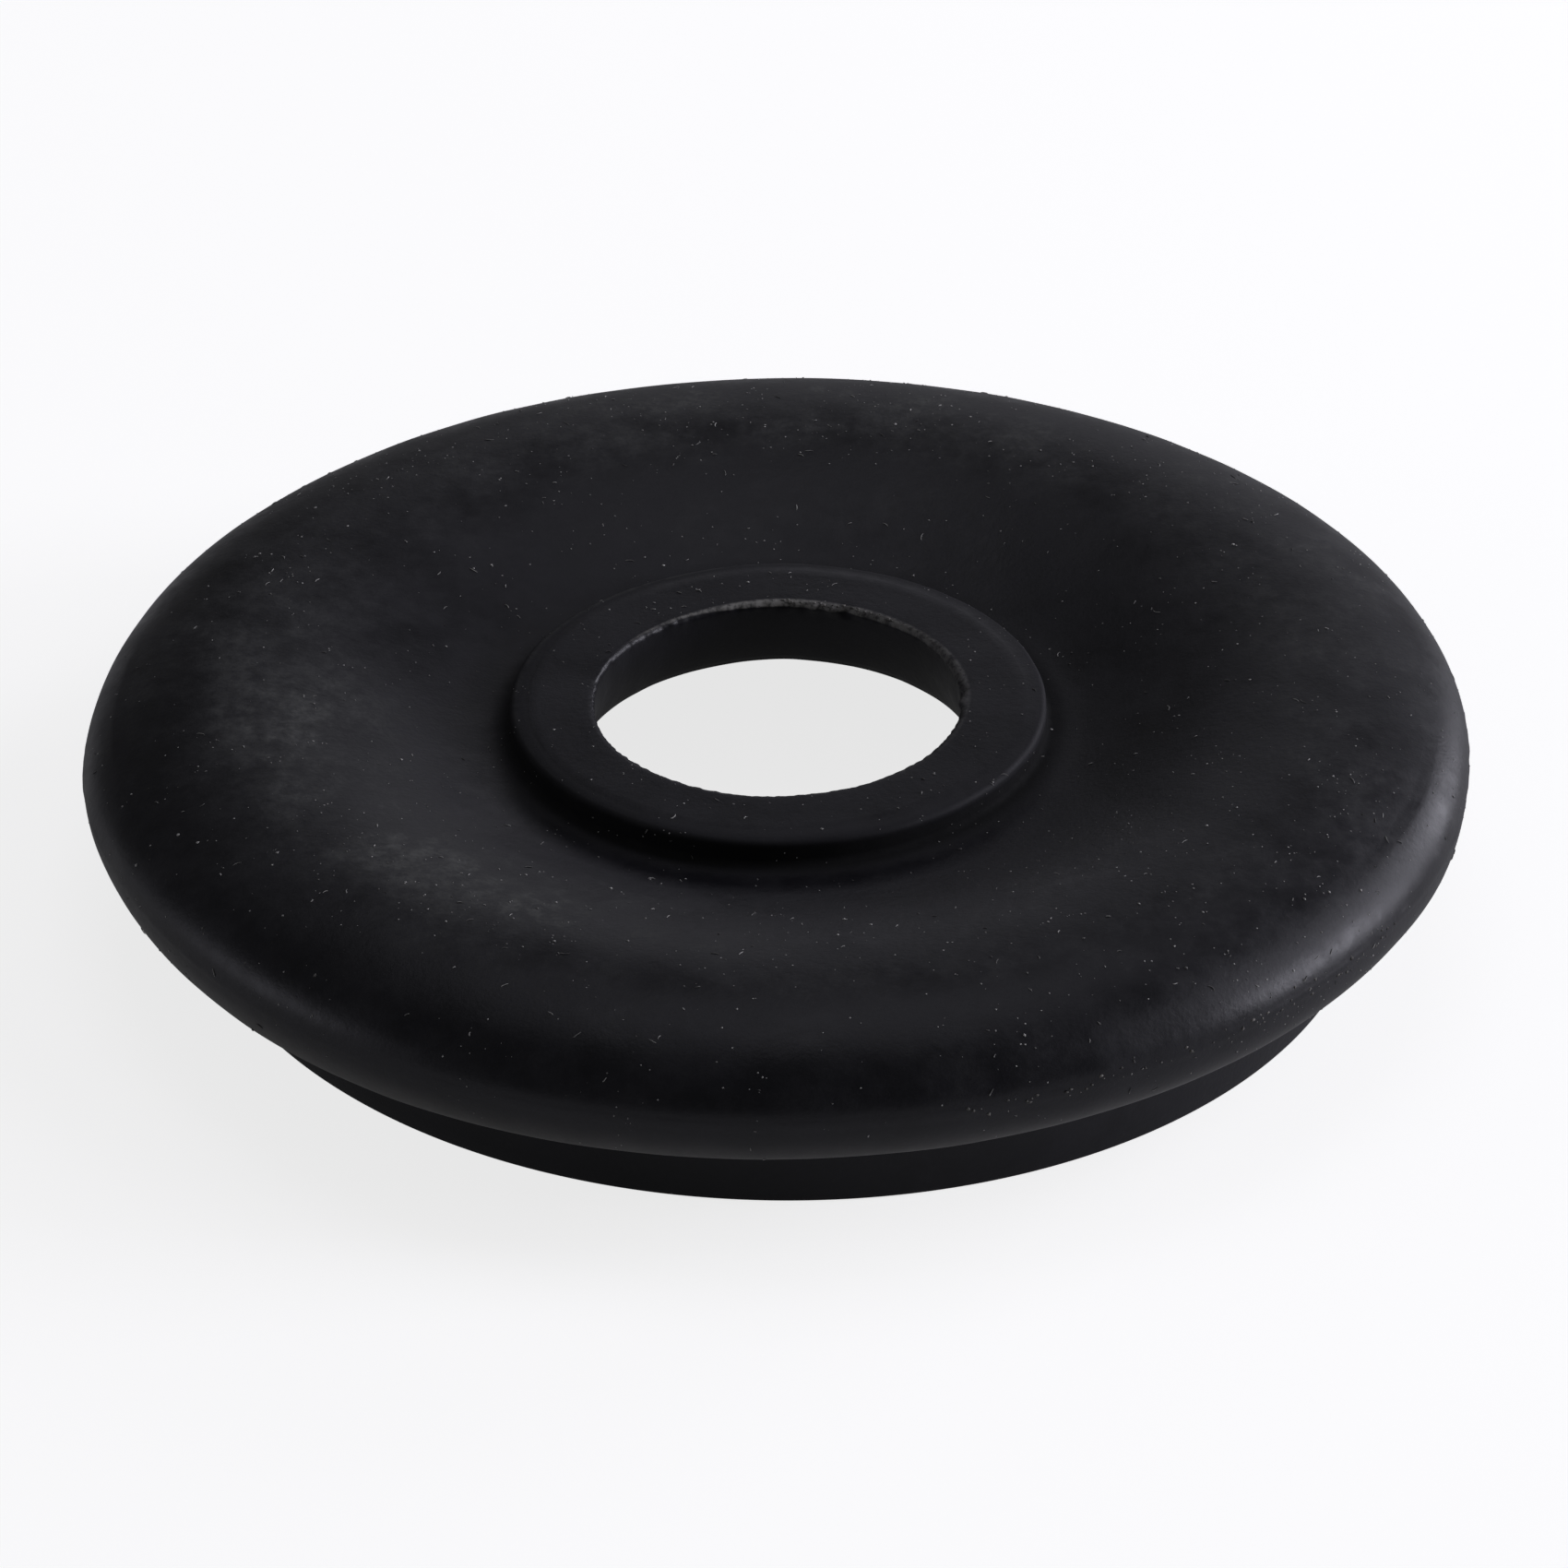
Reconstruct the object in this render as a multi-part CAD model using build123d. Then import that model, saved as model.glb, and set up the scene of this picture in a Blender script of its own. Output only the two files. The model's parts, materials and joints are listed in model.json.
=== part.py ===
from build123d import *

import os

# A wiper linkage seal: one ring moulded in black rubber, drawn with its axis along +Z.
#
# A flat boss surrounds the bore, which grips the neck of the wiper spindle's bearing.
# Outside the boss the top is a shallow dish. It climbs to a round crest, and the crest rolls
# over to the rim. Under the rim hangs a thin sealing lip, and inside the lip a collar drops
# through the hole in the body panel. A relief groove parts the lip from the collar, and the
# middle is hollow below, so that the web under the dish can flex as the spindle turns.
#
# The origin is on the axis, in the plane of the collar's lower face, on which the seal stands.

# Driving dimensions, in millimetres.
outer_diameter = 55.0  # over the rim, at the parting line of the mould
bore_diameter = 14.6  # as moulded; the bearing's neck stretches it to 16
grip_length = 1.5  # of the bore's straight wall, down from the top of the boss
bore_flare = 0.7  # how much the bore's radius grows below the grip

boss_width = 3.4  # of the flat ring round the bore
boss_rise = 1.12  # above the floor of the dish
boss_bevel_width = 0.75  # of the band round the boss that slopes down to its edge
boss_bevel_drop = 0.1
boss_edge_radius = 0.25
boss_root_radius = 0.28
boss_edge_share = 0.5  # the most of the boss's rise that its edge's radius may take up
boss_root_share = 0.35  # and the most that its root's radius may

web_thickness = 2.0  # measured along the axis
dish_land = 0.6  # flat floor between the boss and the start of the slope
dish_depth = 2.09  # from the crest down to the floor of the dish
dish_easing = 2.0  # how gently the slope leaves the floor
crest_easing = 4.6  # how gently it reaches the crest
crest_inset = 5.8  # from the rim in to the crest

roll_height = 2.9  # from the parting line up to the crest
lip_height = 2.0  # from the parting line down to the lip's edge
lip_inset = 0.9  # how far the lip's rounded face turns in from the rim
lip_land = 0.6  # width of the lip's flat edge
relief_depth = 1.8  # of the groove behind the lip
relief_radius = 0.8

collar_setback = 3.95  # from the rim in to the collar's outer wall
collar_depth = 4.25  # from the lip's edge down to the collar's lower face
collar_wall = 2.2
cavity_radius = 1.4  # round the ceiling of the hollow
edge_radius = 0.25  # on the inner edge of the lip
foot_radius = 0.12  # on the edges of the collar's lower face

# Radii of the main circles.
outer_radius = outer_diameter / 2
bore_radius = bore_diameter / 2
boss_radius = bore_radius + boss_width
crest_radius = outer_radius - crest_inset
lip_radius = outer_radius - lip_inset  # where the rounded face ends
collar_radius = outer_radius - collar_setback
cavity_wall_radius = collar_radius - collar_wall

# Heights above the collar's lower face.
lip_z = collar_depth
relief_z = lip_z + relief_depth
parting_z = lip_z + lip_height
crest_z = parting_z + roll_height
dish_z = crest_z - dish_depth
boss_z = dish_z + boss_rise
bevel_z = boss_z - boss_bevel_drop
web_z = dish_z - web_thickness
ceiling_z = crest_z - web_thickness


def slope(inner, outer):
    """The S-shaped climb from the floor to the crest; each end is a (radius, height) pair."""
    return Bezier(
        inner,
        (inner[0] + dish_easing, inner[1]),
        (outer[0] - crest_easing, outer[1]),
        outer,
    )


def outline():
    """The edges of the half section, as radius and height, in order round the rubber."""
    dish_start = (boss_radius + dish_land, dish_z)
    lip_edge = (lip_radius, lip_z)
    web_start = (boss_radius + dish_land, web_z)
    ceiling_end = (cavity_wall_radius, ceiling_z)
    boss = Polyline(
        web_start,
        (bore_radius + bore_flare, web_z),
        (bore_radius, boss_z - grip_length),
        (bore_radius, boss_z),
        (boss_radius - boss_bevel_width, boss_z),
        (boss_radius, bevel_z),
        (boss_radius, dish_z),
        dish_start,
    )
    roll = EllipticalCenterArc((crest_radius, parting_z), crest_inset, roll_height, arc_size=90)
    lip_face = EllipticalCenterArc(
        (lip_radius, parting_z), lip_inset, lip_height, start_angle=270, arc_size=90
    )
    skirt = Polyline(
        lip_edge,
        (lip_radius - lip_land, lip_z),
        (lip_radius - lip_land, relief_z),
        (collar_radius, relief_z),
        (collar_radius, 0),
        (cavity_wall_radius, 0),
        ceiling_end,
    )
    top_slope = slope(dish_start, (crest_radius, crest_z))
    lower_slope = slope(web_start, ceiling_end)
    return Curve() + [boss, top_slope, roll, lip_face, skirt, lower_slope]


def rounded(face, radius, *corners):
    """The face with the vertex nearest to each (radius, height) corner rounded off."""
    vertices = [face.vertices().sort_by_distance(corner)[0] for corner in corners]
    return face.fillet_2d(radius, vertices)


def half_section():
    """The section on one side of the axis, with its corners rounded as the mould leaves them."""
    boss_edge = (boss_radius, bevel_z)
    boss_root = (boss_radius, dish_z)
    face = make_face(outline()).face()
    face = rounded(face, min(boss_edge_radius, boss_edge_share * boss_rise), boss_edge)
    face = rounded(face, min(boss_root_radius, boss_root_share * boss_rise), boss_root)
    face = rounded(face, cavity_radius, (cavity_wall_radius, ceiling_z))
    face = rounded(
        face,
        relief_radius,
        (lip_radius - lip_land, relief_z),
        (collar_radius, relief_z),
    )
    face = rounded(face, edge_radius, (lip_radius - lip_land, lip_z))
    return rounded(face, foot_radius, (collar_radius, 0), (cavity_wall_radius, 0))


seal_body = revolve(Plane.XZ * half_section(), Axis.Z)

os.makedirs("parts", exist_ok=True)
export_step(seal_body, "parts/seal_body.step")
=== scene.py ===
import bpy
import bmesh
import json
import math
import random
from mathutils import Matrix, Vector, noise


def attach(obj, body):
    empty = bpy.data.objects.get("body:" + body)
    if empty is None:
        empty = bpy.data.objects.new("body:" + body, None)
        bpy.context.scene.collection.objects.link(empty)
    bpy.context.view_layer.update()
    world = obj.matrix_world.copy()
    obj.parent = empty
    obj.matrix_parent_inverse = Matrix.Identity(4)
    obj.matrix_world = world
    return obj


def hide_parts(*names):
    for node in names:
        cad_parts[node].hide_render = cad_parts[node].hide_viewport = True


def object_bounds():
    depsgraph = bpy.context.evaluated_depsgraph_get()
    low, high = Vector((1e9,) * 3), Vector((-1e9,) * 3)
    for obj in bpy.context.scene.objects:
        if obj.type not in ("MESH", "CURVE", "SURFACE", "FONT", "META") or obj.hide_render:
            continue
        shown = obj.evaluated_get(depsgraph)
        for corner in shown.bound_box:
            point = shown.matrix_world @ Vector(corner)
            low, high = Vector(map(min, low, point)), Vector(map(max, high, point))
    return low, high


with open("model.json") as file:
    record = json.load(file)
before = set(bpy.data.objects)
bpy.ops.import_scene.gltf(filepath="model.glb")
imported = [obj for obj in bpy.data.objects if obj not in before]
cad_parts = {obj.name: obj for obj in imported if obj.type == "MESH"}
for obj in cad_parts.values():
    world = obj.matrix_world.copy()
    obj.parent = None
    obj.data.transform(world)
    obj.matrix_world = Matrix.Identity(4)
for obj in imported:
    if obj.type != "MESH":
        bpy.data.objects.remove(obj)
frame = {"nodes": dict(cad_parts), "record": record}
cadLow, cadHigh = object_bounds()
mounts = {mount["name"]: mount for mount in frame["record"]["mounts"]}
mm = 0.001
print("frame loaded:", list(frame["nodes"]))


# Small helpers

def smooth(low, high, value):
    # a soft step from 0 at the low value to 1 at the high one, which may be the smaller
    t = min(1.0, max(0.0, (value - low) / (high - low)))
    return t * t * (3 - 2 * t)


def bell(value, centre, width):
    return math.exp(-(((value - centre) / width) ** 2))


def nearBearing(bearing, centre, width):
    # a bell in degrees round the axis, measured the short way
    return bell((bearing - centre + 180) % 360 - 180, 0, width)


def wobble(x, y, z, seed):
    return noise.noise(Vector((x + 17.3 * seed, y - 9.1 * seed, z + 4.7 * seed)))


def ringWobble(turn, waves, height, seed):
    # noise that meets itself after a full turn round the axis
    return wobble(waves * math.cos(turn), waves * math.sin(turn), height, seed)


class Signal:
    # a shader socket that does arithmetic with numbers and with other signals
    def __init__(self, book, socket):
        self.book = book
        self.socket = socket

    def __add__(self, other):
        return self.book.maths("ADD", self, other)

    def __radd__(self, other):
        return self.book.maths("ADD", other, self)

    def __sub__(self, other):
        return self.book.maths("SUBTRACT", self, other)

    def __rsub__(self, other):
        return self.book.maths("SUBTRACT", other, self)

    def __mul__(self, other):
        return self.book.maths("MULTIPLY", self, other)

    def __rmul__(self, other):
        return self.book.maths("MULTIPLY", other, self)

    def __truediv__(self, other):
        return self.book.maths("DIVIDE", self, other)

    def __rtruediv__(self, other):
        return self.book.maths("DIVIDE", other, self)

    def __pow__(self, other):
        return self.book.maths("POWER", self, other)

    def __rpow__(self, other):
        return self.book.maths("POWER", other, self)

    def __neg__(self):
        return self.book.maths("MULTIPLY", self, -1.0)

    def ramp(self, low, high, least=0.0, most=1.0):
        # the least below the low value, the most above the high one, and a soft step between
        sockets = {"Value": self, "From Min": low, "From Max": high, "To Min": least, "To Max": most}
        return self.book.add("ShaderNodeMapRange", {"interpolation_type": "SMOOTHSTEP"}, sockets)

    def hump(self, centre, width):
        # 1 at the centre, falling away on both sides over the width
        offset = (self - centre) / width
        return math.e ** (-(offset * offset))


class NodeBook:
    # the nodes of a material or a world, made by one method and joined as they are made
    def __init__(self, owner):
        owner.use_nodes = True
        self.tree = owner.node_tree
        self.tree.nodes.clear()

    def put(self, socket, value):
        if isinstance(value, Signal):
            self.tree.links.new(value.socket, socket)
        elif hasattr(socket.default_value, "__len__"):
            wanted = len(socket.default_value)
            socket.default_value = tuple(value) + (1.0,) * (wanted - len(value))
        else:
            socket.default_value = value

    def add(self, kind, settings=None, sockets=None, output=0):
        node = self.tree.nodes.new(kind)
        for name, value in (settings or {}).items():
            setattr(node, name, value)
        for name, value in (sockets or {}).items():
            self.put(node.inputs[name], value)
        return Signal(self, node.outputs[output]) if len(node.outputs) else node

    def maths(self, operation, *values):
        return self.add("ShaderNodeMath", {"operation": operation}, dict(enumerate(values)))

    def mixColour(self, factor, first, second):
        # inputs 6 and 7 and output 2 are the Mix node's colours
        return self.add("ShaderNodeMix", {"data_type": "RGBA"}, {0: factor, 6: first, 7: second}, 2)

    def noiseAt(self, where, scale, detail, roughness):
        sockets = {"Vector": where, "Scale": scale, "Detail": detail, "Roughness": roughness}
        return self.add("ShaderNodeTexNoise", {"noise_dimensions": "3D"}, sockets)

    def objectPlace(self):
        return self.add("ShaderNodeTexCoord", output="Object")


def meshObject(name, build, material):
    mesh = bpy.data.meshes.new(name)
    shape = bmesh.new()
    build(shape)
    bmesh.ops.recalc_face_normals(shape, faces=shape.faces)
    shape.to_mesh(mesh)
    shape.free()
    mesh.polygons.foreach_set("use_smooth", [True] * len(mesh.polygons))
    mesh.materials.append(material)
    piece = bpy.data.objects.new(name, mesh)
    bpy.context.scene.collection.objects.link(piece)
    return piece


# Seal. Bearings are in degrees, counter-clockwise from the right side as seen from above.

seal = {
    "rim": cadHigh.x / mm,  # radius over the parting line; sizes are in millimetres
    "height": cadHigh.z / mm,
    "bore": mounts["bore"]["dims"]["r_mm"],
    "collar": mounts["collar"]["dims"]["r_mm"],
    "flare": 0.7,  # how much the bore widens towards its lower end
    "flareFrom": 0.6,  # below the top of the boss
    "mouthEdge": [(0, 0.22), (0.03, 0.13), (0.08, 0.05), (0.15, 0.01), (0.3, 0)],  # out, down
    "bossWidth": 3.4,
    "bossBevel": 0.75,  # width of the slightly sloping band round the boss
    "bossBevelDrop": 0.1,
    "bossRise": 1.12,
    "bossEdge": 0.25,
    "bossRoot": 0.28,
    "web": 2.0,
    "dishLand": 0.6,
    "dishDepth": 2.09,
    "dishEasing": 2.0,
    "crestEasing": 4.6,
    "crestInset": 5.8,
    "rollHeight": 2.9,
    "lipHeight": 2.0,
    "lipInset": 0.9,
    "lipLand": 0.6,
    "reliefDepth": 1.8,
    "reliefRadius": 0.8,
    "collarWall": 2.2,
    "cavityRadius": 1.4,
    "ceilingEasing": 5.6,  # how gently the web's underside reaches the ceiling
    "ceilingInset": 1.6,  # where it does so, in from the collar's inner wall
    "edge": 0.25,
    "foot": 0.12,
    "turns": 540,  # steps round the axis
    "ridge": 0.05,  # height of the ridge the mould leaves at the parting line
    "ridgeWidth": 0.09,
    "sway": [(0.07, 2.1, 0.08, 1), (0.025, 7, 0.2, 2)],  # how far, waves round, waves up, seed
    "topWave": 0.06,  # slow rise and fall of the whole top
    "topRipple": 0.02,
    "boreReach": 1.2,  # how far out from the bore its unevenness is felt
    "boreUneven": [(38, 16, 0.12), (108, 26, -0.08), (210, 40, 0.05)],  # bearing, width, shift
    "boreNicks": [(4, 2.2, 0.16), (357, 2.5, -0.12), (68, 2, 0.12), (73, 1.6, -0.14), (79, 1.5, -0.1)],
    "boreTear": 0.06,
    "rimFrom": 2.5,  # out from the collar, where the ridge and the bulges start
    "rimBulges": [(188, 12, 0.24), (341, 9, 0.12)],
    "leanSide": 1.07,  # degrees, right side up; the collar's foot stays flat
    "leanFront": 0.25,
}
seal["boss"] = seal["bore"] + seal["bossWidth"]
seal["dishZ"] = seal["height"] - seal["dishDepth"]
seal["bossZ"] = seal["dishZ"] + seal["bossRise"]
seal["partingZ"] = seal["height"] - seal["rollHeight"]
seal["lipZ"] = seal["partingZ"] - seal["lipHeight"]


def roundCorner(before, corner, after, radius, steps):
    # points of an arc that takes the corner off the path
    back = (Vector(before) - Vector(corner)).normalized()
    ahead = (Vector(after) - Vector(corner)).normalized()
    half = back.angle(ahead) / 2
    reach = radius / math.tan(half)
    middle = Vector(corner) + (back + ahead).normalized() * (radius / math.sin(half))
    start = Vector(corner) + back * reach - middle
    end = Vector(corner) + ahead * reach - middle
    sweep = start.angle_signed(end)
    points = []
    for i in range(steps + 1):
        t = -sweep * i / steps
        c, s = math.cos(t), math.sin(t)
        points.append((middle.x + c * start.x - s * start.y, middle.y + s * start.x + c * start.y))
    return points


def bezierPoints(a, b, c, d, steps):
    points = []
    for i in range(steps + 1):
        t = i / steps
        u = 1 - t
        weights = (u ** 3, 3 * u * u * t, 3 * u * t * t, t ** 3)
        points.append(tuple(sum(w * p[k] for w, p in zip(weights, (a, b, c, d))) for k in (0, 1)))
    return points


def ellipsePoints(centre, across, up, startAngle, endAngle, steps):
    # the first point is left out, because the path is already there
    points = []
    for i in range(1, steps + 1):
        t = math.radians(startAngle + (endAngle - startAngle) * i / steps)
        points.append((centre[0] + across * math.cos(t), centre[1] + up * math.sin(t)))
    return points


def linePoints(start, end, steps):
    return [
        (start[0] + (end[0] - start[0]) * i / steps, start[1] + (end[1] - start[1]) * i / steps)
        for i in range(steps + 1)
    ]


def sealSection(s):
    # the half section in millimetres, from the bore outwards and back underneath
    bore, boss, collar = s["bore"], s["boss"], s["collar"]
    crestZ, partingZ, lipZ = s["height"], s["partingZ"], s["lipZ"]
    dishZ, bossZ = s["dishZ"], s["bossZ"]
    bevelZ = bossZ - s["bossBevelDrop"]
    flareZ = bossZ - s["flareFrom"]
    reliefZ = lipZ + s["reliefDepth"]
    webZ = dishZ - s["web"]
    ceilingZ = crestZ - s["web"]
    bevelR = boss - s["bossBevel"]
    dishR = boss + s["dishLand"]
    crestR = s["rim"] - s["crestInset"]
    lipR = s["rim"] - s["lipInset"]
    landR = lipR - s["lipLand"]
    wallR = collar - s["collarWall"]
    groove = s["reliefRadius"]

    # up the bore, over its worn mouth and across the boss to its bevel
    mouth = [(bore + out, bossZ - down) for out, down in s["mouthEdge"]]
    path = linePoints((bore, flareZ), mouth[0], 3)
    path += mouth[1:-1]
    path += linePoints(mouth[-1], (bevelR - 0.06, bossZ), 6)
    path += linePoints((bevelR, bossZ - 0.012), (boss - 0.4, bevelZ + 0.05), 2)
    path += roundCorner((bevelR, bossZ), (boss, bevelZ), (boss, dishZ), s["bossEdge"], 5)
    path += roundCorner((boss, bevelZ), (boss, dishZ), (dishR, dishZ), s["bossRoot"], 5)

    # the dish, the roll and the lip
    slopeIn = (dishR + s["dishEasing"], dishZ)
    slopeOut = (crestR - s["crestEasing"], crestZ)
    path += bezierPoints((dishR, dishZ), slopeIn, slopeOut, (crestR, crestZ), 30)
    path += ellipsePoints((crestR, partingZ), s["crestInset"], s["rollHeight"], 90, 0, 32)
    path += ellipsePoints((lipR, partingZ), s["lipInset"], s["lipHeight"], 0, -90, 16)
    path += roundCorner((lipR, lipZ), (landR, lipZ), (landR, reliefZ), s["edge"], 4)

    # the relief groove and the collar; the rows between corners only keep the faces even
    path += roundCorner((landR, lipZ), (landR, reliefZ), (collar, reliefZ), groove, 6)
    path += roundCorner((landR, reliefZ), (collar, reliefZ), (collar, 0), groove, 6)
    path += linePoints((collar, reliefZ - 2 * groove), (collar, 0.7), 6)
    path += roundCorner((collar, reliefZ), (collar, 0), (wallR, 0), s["foot"], 3)
    path += roundCorner((collar, 0), (wallR, 0), (wallR, ceilingZ), s["foot"], 3)
    path += linePoints((wallR, 1.0), (wallR, ceilingZ - s["cavityRadius"] - 0.6), 4)

    # the hollow, the underside of the web and the flare of the bore
    path += roundCorner((wallR, 0), (wallR, ceilingZ), (dishR, ceilingZ), s["cavityRadius"], 7)
    underIn = (dishR + s["dishEasing"], webZ)
    underOut = (crestR - s["ceilingEasing"], ceilingZ)
    under = bezierPoints((dishR, webZ), underIn, underOut, (wallR - s["ceilingInset"], ceilingZ), 18)
    path += under[::-1]
    path += linePoints((dishR - 1, webZ), (bore + s["flare"] + 0.4, webZ), 2)
    for i in range(8):
        t = 1 - i / 8
        path.append((bore + s["flare"] * t * t, webZ + (flareZ - webZ) * (1 - t)))
    return path


def rubberPoint(r, z, turn, s):
    # a point of the relaxed section, moved to where the uneven rubber has it, in metres
    bearing = math.degrees(turn) % 360
    upper = smooth(0.2, s["lipZ"], z)
    for amount, waves, climb, seed in s["sway"]:
        r += upper * amount * ringWobble(turn, waves, climb * z, seed)
    if r > s["collar"] + s["rimFrom"]:
        ridge = bell(z, s["partingZ"], s["ridgeWidth"]) * (0.55 + 0.9 * ringWobble(turn, 30, 0, 3))
        r += s["ridge"] * max(0.0, ridge)
        for centre, width, shift in s["rimBulges"]:
            r += shift * nearBearing(bearing, centre, width)
    if r < s["bore"] + s["boreReach"]:
        inner = smooth(s["bore"] + s["boreReach"], s["bore"], r)
        mouth = inner * smooth(s["bossZ"] - 0.5, s["bossZ"] - 0.1, z)
        for centre, width, shift in s["boreUneven"]:
            r += inner * shift * nearBearing(bearing, centre, width)
        torn = ringWobble(turn, 21, 2 * z, 4) + 0.5 * ringWobble(turn, 57, 6 * z, 7)
        r += mouth * s["boreTear"] * torn * smooth(s["bore"] + 0.4, s["bore"] + 0.1, r)
        for centre, width, shift in s["boreNicks"]:
            r += mouth * shift * nearBearing(bearing, centre, width)
    z += upper * s["topWave"] * ringWobble(turn, 1.7, 0.05 * r, 5)
    z += upper * s["topRipple"] * ringWobble(turn, 0.4 * r, 0, 6)
    lean = Matrix.Rotation(math.radians(s["leanFront"] * upper), 3, "X")
    lean = lean @ Matrix.Rotation(-math.radians(s["leanSide"] * upper), 3, "Y")
    return (lean @ Vector((r * math.cos(turn), r * math.sin(turn), z))) * mm


def buildSeal(shape):
    rings = []
    for i in range(seal["turns"]):
        turn = 2 * math.pi * i / seal["turns"]
        rings.append([shape.verts.new(rubberPoint(r, z, turn, seal)) for r, z in section])
    for i, ring in enumerate(rings):
        following = rings[(i + 1) % len(rings)]
        for j in range(len(section)):
            k = (j + 1) % len(section)
            shape.faces.new((ring[j], ring[k], following[k], following[j]))
    print("seal:", len(section), "points round the section,", len(shape.faces), "faces")


rubberLook = {
    "colour": (0.0140, 0.0137, 0.0185),
    "shades": (0.82, 1.2),  # darkest and palest cast of the plain rubber
    "haze": (0.150, 0.153, 0.148),  # pale bloom and road dust, also used as painted light on the far crest and the boss's far edge
    "torn": (0.50, 0.49, 0.46),  # ragged rubber at the mouth of the bore
    "worn": (0.20, 0.196, 0.188),  # the lip's lower edge, partly wear and partly a painted reflection of the floor below
    "moat": (0.003, 0.003, 0.0032),  # painted shade in the corner round the boss
    "roughness": 0.38,
    "broad": (110, 4, 0.6),  # noise scale, detail and roughness, from the largest marks
    "cloud": (330, 5, 0.65),
    "scuff": (1500, 4, 0.7),
    "grain": (5200, 3, 0.6),  # to the finest
    "bandHaze": 0.72,  # on the left and front of the dish
    "bandInner": (13.5, 18.5),  # radii between which it comes in
    "bandOuter": (20.5, 24),  # and goes out, at the left side
    "bandNarrows": (0.012, 0.03),  # how much less those are for each degree round by the front
    "bandStart": (-25, 8),  # degrees round by the front, from the left side
    "bandEnd": (70, 99),
    "crestHaze": 0.95,  # on the far and right crest, partly dust and partly painted light from the back right
    "crestInner": (17, 24.5),
    "crestAround": (-15, 72),  # centre and width in degrees round by the left, from the far side
    "ringHaze": 0.16,  # all round the crest
    "ringAt": (21.5, 4),
    "plainHaze": 0.04,  # everywhere
    "mouthAround": (25, 95),
    # centre and width round the far side of the boss's paled edge, partly rubbing and partly a painted
    # edge highlight
    "rubbedAround": (10, 80),
    "bumpStrength": 0.5,
    "bumpHeight": 0.00007,  # metres
}


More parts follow.
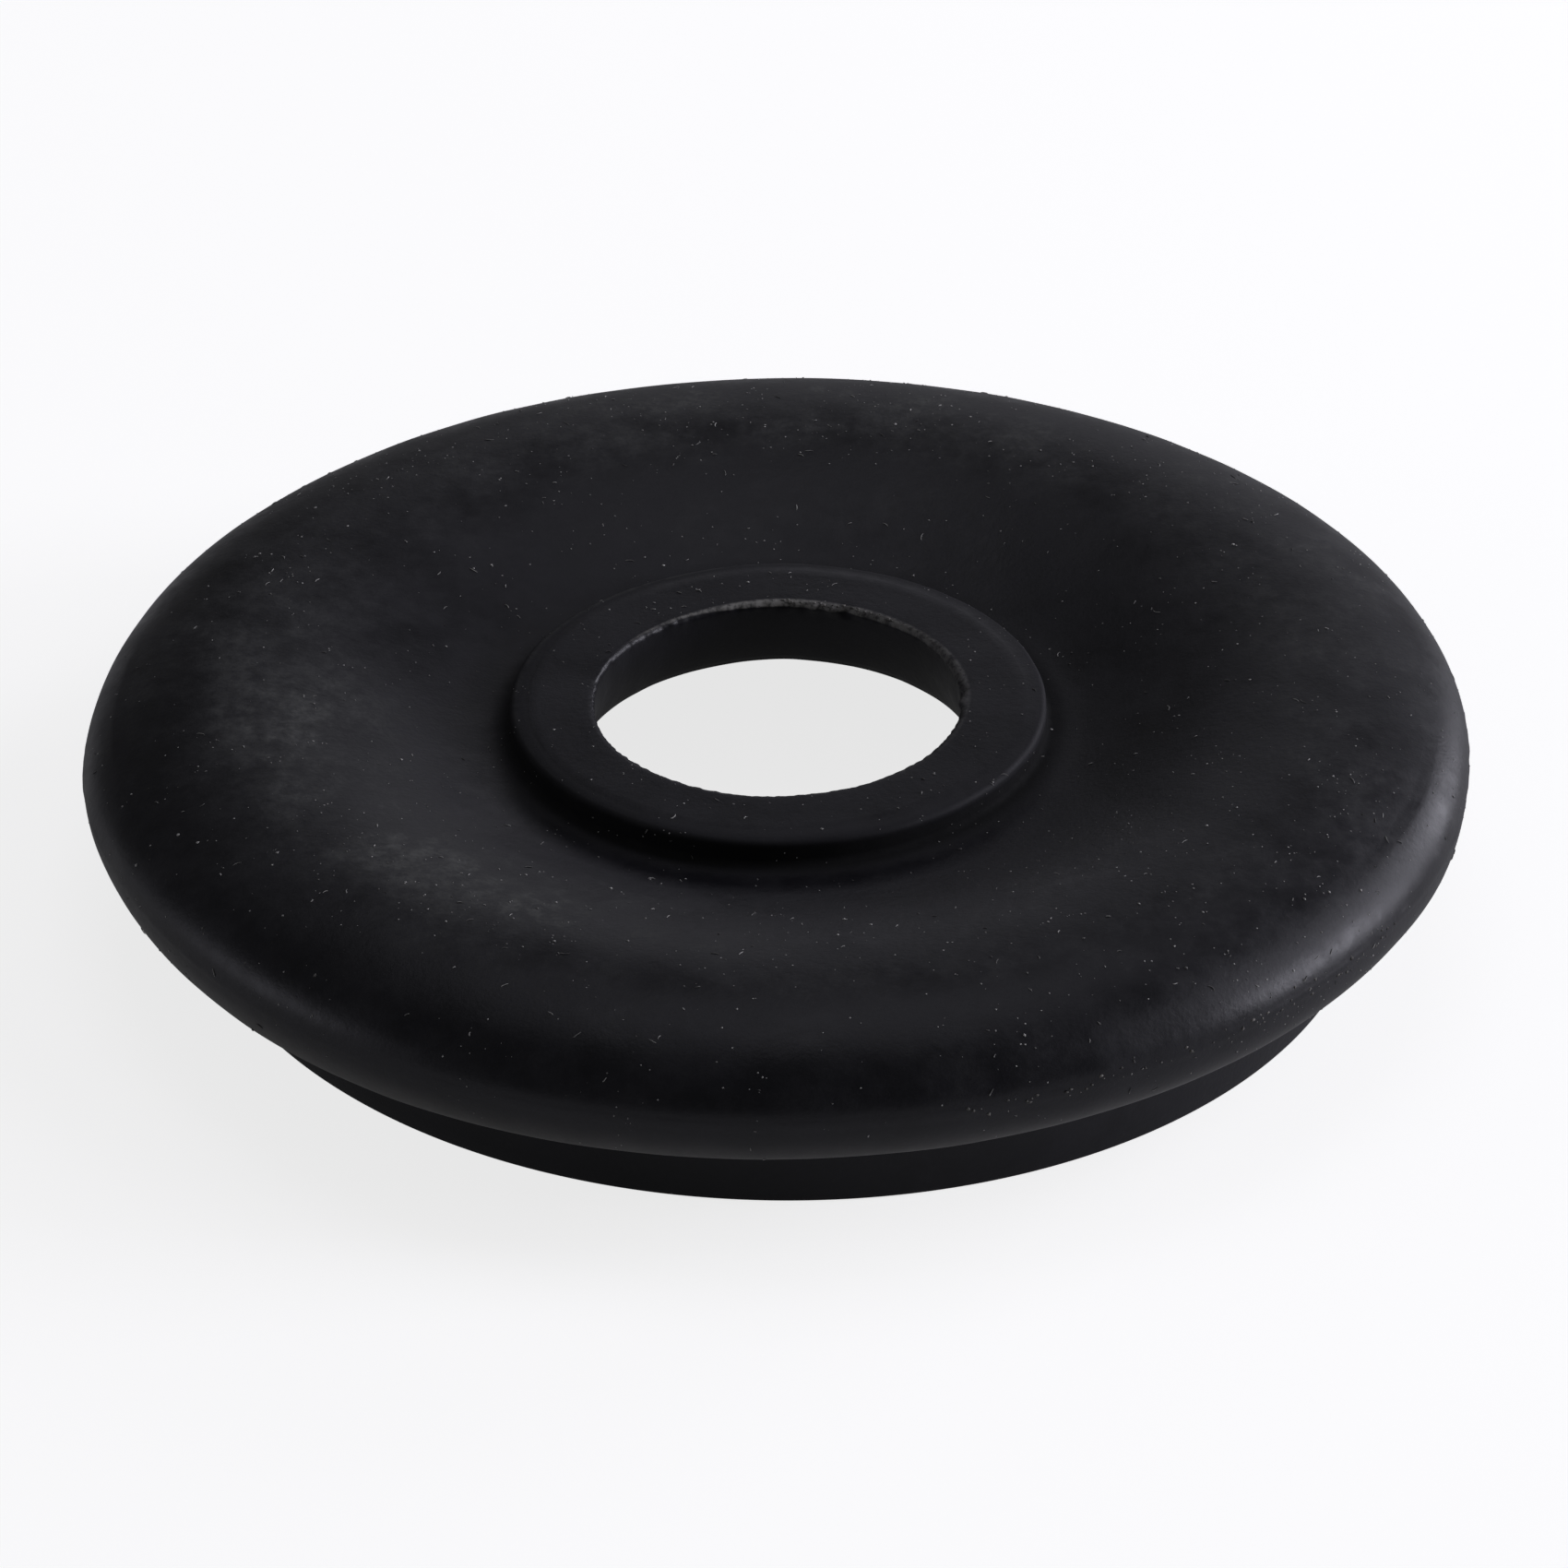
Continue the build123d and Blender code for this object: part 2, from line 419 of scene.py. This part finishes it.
def rubberMaterial():
    look = rubberLook
    material = bpy.data.materials.new("rubber")
    book = NodeBook(material)
    where = book.objectPlace()
    x, y, z = (book.add("ShaderNodeSeparateXYZ", {}, {"Vector": where}, axis) / mm for axis in "XYZ")
    r = (x * x + y * y) ** 0.5
    fromLeft = book.maths("ARCTAN2", -y, -x) * math.degrees(1)
    fromBack = book.maths("ARCTAN2", -x, y) * math.degrees(1)
    layers = ("broad", "cloud", "scuff", "grain")
    broad, cloud, scuff, grain = (book.noiseAt(where, *look[layer]) for layer in layers)
    bore, boss, bossZ, lipZ = seal["bore"], seal["boss"], seal["bossZ"], seal["lipZ"]

    # dust haze on the upper side, with painted light on the far crest, broken into patches
    outer = [start - fromLeft * less for start, less in zip(look["bandOuter"], look["bandNarrows"])]
    band = r.ramp(*look["bandInner"]) * (1 - r.ramp(*outer))
    band = band * fromLeft.ramp(*look["bandStart"]) * (1 - fromLeft.ramp(*look["bandEnd"]))
    crest = r.ramp(*look["crestInner"]) * fromBack.hump(*look["crestAround"])
    ring = r.hump(*look["ringAt"]) * look["ringHaze"]
    patches = broad.ramp(0.35, 0.65, 0.45, 1) * cloud.ramp(0.33, 0.68, 0.15, 1)
    patches = patches * scuff.ramp(0.3, 0.7, 0.3, 1.2) * grain.ramp(0.3, 0.7, 0.75, 1.25)
    above = z.ramp(lipZ - 0.2, lipZ + 0.8)
    haze = (band * look["bandHaze"] + crest * look["crestHaze"] + ring) * above + look["plainHaze"]
    haze = book.maths("MINIMUM", haze * patches, 1.0)

    # pale, ragged rubber at the mouth of the bore
    mouth = 1 - r.ramp(bore + 0.12, bore + 0.30)
    mouth = mouth * z.ramp(bossZ - 0.16, bossZ - 0.08) * fromBack.hump(*look["mouthAround"])
    torn = mouth * scuff.ramp(0.3, 0.55, 0.25, 0.85) * grain.ramp(0.3, 0.6, 0.3, 1.1)

    # the lip's lower edge, paled by wear and by a painted reflection of the floor, and the boss's far
    # edge, paled by rubbing and by a painted edge highlight
    worn = r.ramp(seal["rim"] - 1.6, seal["rim"] - 1.1) * z.hump(lipZ, 0.8)
    worn = worn * cloud.ramp(0.2, 0.7, 0.5, 1)
    rubbedEdgeAndHighlight = r.hump(boss - 0.1, 0.16) * z.ramp(bossZ - 0.45, bossZ - 0.25)
    rubbedEdgeAndHighlight = rubbedEdgeAndHighlight * fromBack.hump(*look["rubbedAround"]) * scuff.ramp(0.3, 0.6, 0.2, 1)

    # painted shade darkens the corner round the boss, which is made dull as well, and the boss's edge is
    # dull too
    moat = r.hump(boss + 0.1, 0.7) * (1 - z.ramp(bossZ - 0.5, bossZ - 0.12))
    bossEdge = r.hump(boss - 0.15, 0.3) * z.ramp(bossZ - 0.5, bossZ - 0.3)

    dark, pale = ([shade * c for c in look["colour"]] for shade in look["shades"])
    colour = book.mixColour(cloud.ramp(0.3, 0.7), dark, pale)
    colour = book.mixColour(haze, colour, look["haze"])
    colour = book.mixColour(moat * 0.85, colour, look["moat"])
    colour = book.mixColour(worn * 0.7, colour, look["worn"])
    colour = book.mixColour(rubbedEdgeAndHighlight * 0.5, colour, look["haze"])
    colour = book.mixColour(torn * 0.9, colour, look["torn"])
    rough = look["roughness"] + 0.3 * (cloud - 0.5) + 0.2 * (scuff - 0.5)
    rough = rough + 0.3 * haze + 0.3 * torn + 0.5 * moat + 0.3 * bossEdge
    height = cloud * 0.45 + scuff * 0.33 + grain * 0.22
    bump = {"Strength": look["bumpStrength"], "Distance": look["bumpHeight"], "Height": height}
    normal = book.add("ShaderNodeBump", {}, bump)
    sockets = {"Base Color": colour, "Roughness": rough, "Normal": normal, "IOR": 1.5}
    surface = book.add("ShaderNodeBsdfPrincipled", {}, sockets)
    book.add("ShaderNodeOutputMaterial", {}, {"Surface": surface})
    return material


section = sealSection(seal)
sealBody = meshObject("sealBody", buildSeal, rubberMaterial())
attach(sealBody, "root")
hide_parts("seal_body")


# Dust, lint and crumbs of torn rubber

dustFall = {
    "everywhere": 0.25,
    "boss": 0.3,  # more on the flat of the boss
    "farAround": (90, 60),  # bearing and spread; most of it lies on the far side
    "farInner": (15, 24),  # radii between which it comes in
    "front": 0.7,
    "frontAround": (235, 45),
    "frontAt": (19.5, 4),
    "side": 0.55,
    "sideAround": (318, 35),
    "sideInner": (13, 20),
    "gain": 1.6,
    "clumpSize": 0.5,
    "clumpLeast": 0.05,
    "pale": (0.80, 0.79, 0.76),
    "dull": (0.20, 0.197, 0.19),
}


def surfaceAt(step, turn, lift):
    # position, outward normal and direction along the section, at a fractional step of the section
    j = int(step)
    t = step - j
    r0, z0 = section[j]
    r1, z1 = section[j + 1]
    here = rubberPoint(r0 + (r1 - r0) * t, z0 + (z1 - z0) * t, turn, seal)
    along = (rubberPoint(r1, z1, turn, seal) - rubberPoint(r0, z0, turn, seal)).normalized()
    across = Vector((-math.sin(turn), math.cos(turn), 0))
    normal = along.cross(across).normalized()
    return here + normal * lift * mm, normal, along, across


def scatterSteps():
    # steps of the section from the mouth of the bore out to the lip, each with its share of the area
    first = next(j for j, point in enumerate(section) if point[0] > seal["bore"] + 0.1)
    last = next(j for j, point in enumerate(section) if point[1] < seal["lipZ"] + 0.3)
    steps = []
    for j in range(first, last):
        (r0, z0), (r1, z1) = section[j], section[j + 1]
        steps.append((j, math.hypot(r1 - r0, z1 - z0) * (r0 + r1) / 2))
    return steps


def dustDensity(r, bearing):
    # how much dust lies there, from 0 to 1
    far = nearBearing(bearing, *dustFall["farAround"]) * smooth(*dustFall["farInner"], r)
    front = nearBearing(bearing, *dustFall["frontAround"]) * bell(r, *dustFall["frontAt"])
    side = nearBearing(bearing, *dustFall["sideAround"]) * smooth(*dustFall["sideInner"], r)
    boss = dustFall["boss"] if r < seal["boss"] else 0.0
    local = far + dustFall["front"] * front + dustFall["side"] * side + boss
    return min(1.0, dustFall["everywhere"] + local)


def scatter(piece):
    dice = random.Random(piece["seed"])
    steps = scatterSteps()
    total = sum(area for j, area in steps)
    chosen = []
    while len(chosen) < piece["count"]:
        pick = dice.random() * total
        for j, area in steps:
            pick -= area
            if pick <= 0:
                break
        turn = dice.random() * 2 * math.pi
        r = section[j][0]
        clump = 0.5 + piece["clumping"] * ringWobble(turn, dustFall["clumpSize"] * r, 0, 21)
        clump = max(dustFall["clumpLeast"], clump)
        if dice.random() < dustDensity(r, math.degrees(turn)) * clump * dustFall["gain"]:
            chosen.append((j + dice.random() * 0.98, turn))
    return chosen, dice


grains = {
    "count": 2600,
    "size": (0.018, 0.050),  # radius in millimetres
    "smallShare": 0.9,
    "largeTimes": 1.7,  # how much bigger the rest are
    "clumping": 1.2,
    "seed": 11,
}


def buildGrains(shape):
    places, dice = scatter(grains)
    for step, turn in places:
        size = dice.uniform(*grains["size"])
        size *= 1.0 if dice.random() < grains["smallShare"] else grains["largeTimes"]
        here, normal, along, across = surfaceAt(step, turn, size * 0.15)
        points = []
        for direction in (normal * 0.5, along, across, -along, -across, -normal * 0.5):
            reach = size * mm * dice.uniform(0.6, 1.25)
            points.append(shape.verts.new(here + direction * reach))
        for i in range(4):
            side, following = points[1 + i], points[1 + (i + 1) % 4]
            shape.faces.new((points[0], side, following))
            shape.faces.new((points[5], following, side))


fibres = {
    "count": 380,
    "length": (0.08, 0.34),
    "lengthTimes": (0.6, 1.0, 1.0, 1.25),
    "thickness": (0.012, 0.024),
    "curl": 1.6,  # the most that one turns from end to end, in radians
    "arch": 0.012,
    "endTaper": 0.45,
    "pieces": 5,
    "clumping": 0.8,
    "seed": 12,
}


def buildFibres(shape):
    places, dice = scatter(fibres)
    pieces = fibres["pieces"]
    for step, turn in places:
        length = dice.uniform(*fibres["length"]) * dice.choice(fibres["lengthTimes"])
        thickness = dice.uniform(*fibres["thickness"])
        here, normal, along, across = surfaceAt(step, turn, thickness * 0.4)
        heading = dice.uniform(0, 2 * math.pi)
        curl = dice.uniform(-fibres["curl"], fibres["curl"])
        place = here.copy()
        before = None
        for i in range(pieces + 1):
            way = along * math.cos(heading) + across * math.sin(heading)
            sideways = way.cross(normal)
            waist = thickness * mm * (fibres["endTaper"] if i in (0, pieces) else 1.0)
            spot = place + normal * mm * fibres["arch"] * math.sin(i / pieces * math.pi)
            ring = []
            for k in range(4):
                around = math.pi / 2 * k
                offset = sideways * math.cos(around) + normal * math.sin(around)
                ring.append(shape.verts.new(spot + offset * waist))
            if before:
                for k in range(4):
                    shape.faces.new((before[k], before[(k + 1) % 4], ring[(k + 1) % 4], ring[k]))
            before = ring
            place += way * length * mm / pieces
            heading += curl / pieces


crumbs = {
    "partingCount": 60,
    "partingBearings": (285, 330),  # between which they hang on the parting line
    "mouthCount": 34,
    "mouthBearings": (52, 92),  # and along the far side of the bore's mouth
    "size": (0.03, 0.085),
    "stretch": (0.8, 1.9),
    "sides": 6,
    "colour": (0.30, 0.29, 0.27),
    "shade": 0.4,  # how dark the darker ones are
    "seed": 13,
}


def crumbPlaces(dice):
    outer = [j for j, point in enumerate(section) if point[0] > seal["rim"] - 1]
    parting = min(outer, key=lambda j: abs(section[j][1] - seal["partingZ"]))
    mouth = next(j for j, point in enumerate(section) if point[1] > seal["bossZ"] - 0.1)
    places = []
    for i in range(crumbs["partingCount"]):
        turn = math.radians(dice.uniform(*crumbs["partingBearings"]))
        places.append((parting + dice.gauss(0, 1.3), turn))
    for i in range(crumbs["mouthCount"]):
        turn = math.radians(dice.uniform(*crumbs["mouthBearings"]))
        places.append((mouth + dice.uniform(0, 1.6), turn))
    return places


def buildCrumbs(shape):
    dice = random.Random(crumbs["seed"])
    sides = crumbs["sides"]
    for step, turn in crumbPlaces(dice):
        size = dice.uniform(*crumbs["size"])
        here, normal, along, across = surfaceAt(step, turn, size * 0.1)
        stretch = dice.uniform(*crumbs["stretch"])
        ring = []
        for i in range(sides):
            a = 2 * math.pi * i / sides
            reach = size * mm * dice.uniform(0.6, 1.15)
            spoke = across * math.cos(a) * stretch + along * math.sin(a)
            ring.append(shape.verts.new(here + spoke * reach))
        top = shape.verts.new(here + normal * size * mm * dice.uniform(0.35, 0.6))
        foot = shape.verts.new(here - normal * size * mm * 0.7)
        for i in range(sides):
            shape.faces.new((ring[i], ring[(i + 1) % sides], top))
            shape.faces.new((ring[(i + 1) % sides], ring[i], foot))


def dustMaterial(name, dull, pale):
    material = bpy.data.materials.new(name)
    book = NodeBook(material)
    patch = book.noiseAt(book.objectPlace(), 1900, 2, 0.5)
    light = book.mixColour(patch.ramp(0.35, 0.65), dull, pale)
    surface = book.add("ShaderNodeBsdfPrincipled", {}, {"Base Color": light, "Roughness": 0.9})
    book.add("ShaderNodeOutputMaterial", {}, {"Surface": surface})
    return material


dustFinish = dustMaterial("dust", dustFall["dull"], dustFall["pale"])
crumbFinish = dustMaterial("crumbs", [crumbs["shade"] * c for c in crumbs["colour"]], crumbs["colour"])
loose = (
    ("dustGrains", buildGrains, dustFinish),
    ("lintFibres", buildFibres, dustFinish),
    ("tornCrumbs", buildCrumbs, crumbFinish),
)
for name, build, finish in loose:
    piece = meshObject(name, build, finish)
    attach(piece, "root")
    print(name, len(piece.data.polygons), "faces")


# Floor, lights and camera

stage = {
    "floorSize": 3.0,
    "floorDrop": 0.02,  # millimetres below the collar's foot, so that the two faces stay apart
    "floorColour": (0.82, 0.82, 0.82),
    "floorMirror": 0.1,  # how much of the glow the rubber reflects
    "floorGlow": 0.78,  # brings the lit floor up to white and leaves its shadows
    "skyLight": 0.05,
    "skySeen": 1.0,  # the backdrop behind everything, in plain view
    "lampColour": (0.97, 0.96, 1.08),
    "lampAim": 5,  # millimetres above the floor
    "lens": 187.77,
    "distance": 12.0,  # in outer radii, as the two aims are
    "elevation": 31.72,
    "roll": 0.634,
    "aimSide": 0.00648,
    "aimUp": 0.12563,
}
lamps = {  # bearing, elevation, distance, width and height in metres, watts
    "keyRight": (3, 9, 0.7, 0.24, 0.34, 1.8),
    "rightBack": (38, 11, 0.7, 0.24, 0.32, 0.75),
    "rightHigh": (8, 36, 0.7, 0.36, 0.36, 0.42),
    "leftLow": (185, 9, 0.7, 0.36, 0.3, 0.28),
    "overhead": (90, 68, 0.7, 0.4, 0.4, 0.2),
    "backLow": (77, 19, 0.9, 0.6, 0.25, 0.17),
}


def floorMaterial():
    material = bpy.data.materials.new("floor")
    book = NodeBook(material)
    plain = book.add("ShaderNodeBsdfDiffuse", {}, {"Color": stage["floorColour"]})
    glow = book.add("ShaderNodeEmission", {}, {"Color": (1, 1, 1), "Strength": stage["floorGlow"]})
    bright = book.add("ShaderNodeAddShader", {}, {0: plain, 1: glow})
    cameraRay = book.add("ShaderNodeLightPath", output="Is Camera Ray")
    glossyRay = book.add("ShaderNodeLightPath", output="Is Glossy Ray")
    seen = cameraRay + glossyRay * stage["floorMirror"]
    mixed = book.add("ShaderNodeMixShader", {}, {0: seen, 1: plain, 2: bright})
    book.add("ShaderNodeOutputMaterial", {}, {"Surface": mixed})
    return material


def buildFloor(shape):
    bmesh.ops.create_grid(shape, x_segments=2, y_segments=2, size=stage["floorSize"] / 2)


def softBox(name, bearing, elevation, distance, width, height, watts):
    data = bpy.data.lights.new(name, "AREA")
    data.shape = "RECTANGLE"
    data.size = width
    data.size_y = height
    data.energy = watts
    data.color = stage["lampColour"]
    box = bpy.data.objects.new(name, data)
    b, e = math.radians(bearing), math.radians(elevation)
    box.location = Vector((math.cos(e) * math.cos(b), math.cos(e) * math.sin(b), math.sin(e))) * distance
    direction = Vector((0, 0, stage["lampAim"] * mm)) - box.location
    box.rotation_euler = direction.to_track_quat("-Z", "Y").to_euler()
    bpy.context.scene.collection.objects.link(box)


def buildWorld():
    world = bpy.data.worlds.new("studio")
    bpy.context.scene.world = world
    sky = NodeBook(world)
    cameraRay = sky.add("ShaderNodeLightPath", output="Is Camera Ray")
    dim = sky.add("ShaderNodeBackground", {}, {"Color": (1, 1, 1), "Strength": stage["skyLight"]})
    bright = sky.add("ShaderNodeBackground", {}, {"Color": (1, 1, 1), "Strength": stage["skySeen"]})
    both = sky.add("ShaderNodeMixShader", {}, {0: cameraRay, 1: dim, 2: bright})
    sky.add("ShaderNodeOutputWorld", {}, {"Surface": both})


def placeCamera():
    data = bpy.data.cameras.new("camera")
    data.sensor_width = 36
    data.lens = stage["lens"]
    data.clip_start = 0.01
    camera = bpy.data.objects.new("camera", data)
    e, roll = math.radians(stage["elevation"]), math.radians(stage["roll"])
    forward = Vector((0, math.cos(e), -math.sin(e)))
    level = Vector((1, 0, 0))
    upright = Vector((0, math.sin(e), math.cos(e)))
    right = level * math.cos(roll) + upright * math.sin(roll)
    up = upright * math.cos(roll) - level * math.sin(roll)
    place = (-stage["distance"] * forward + stage["aimSide"] * right + stage["aimUp"] * up) * cadHigh.x
    turned = Matrix((right, up, -forward)).transposed().to_4x4()
    camera.matrix_world = Matrix.Translation(place) @ turned
    bpy.context.scene.collection.objects.link(camera)
    bpy.context.scene.camera = camera


floor = meshObject("floor", buildFloor, floorMaterial())
floor.location.z = cadLow.z - stage["floorDrop"] * mm
for name, lamp in lamps.items():
    softBox(name, *lamp)
buildWorld()
placeCamera()
bpy.context.scene.view_settings.view_transform = "Standard"
print("floor, lights and camera placed")
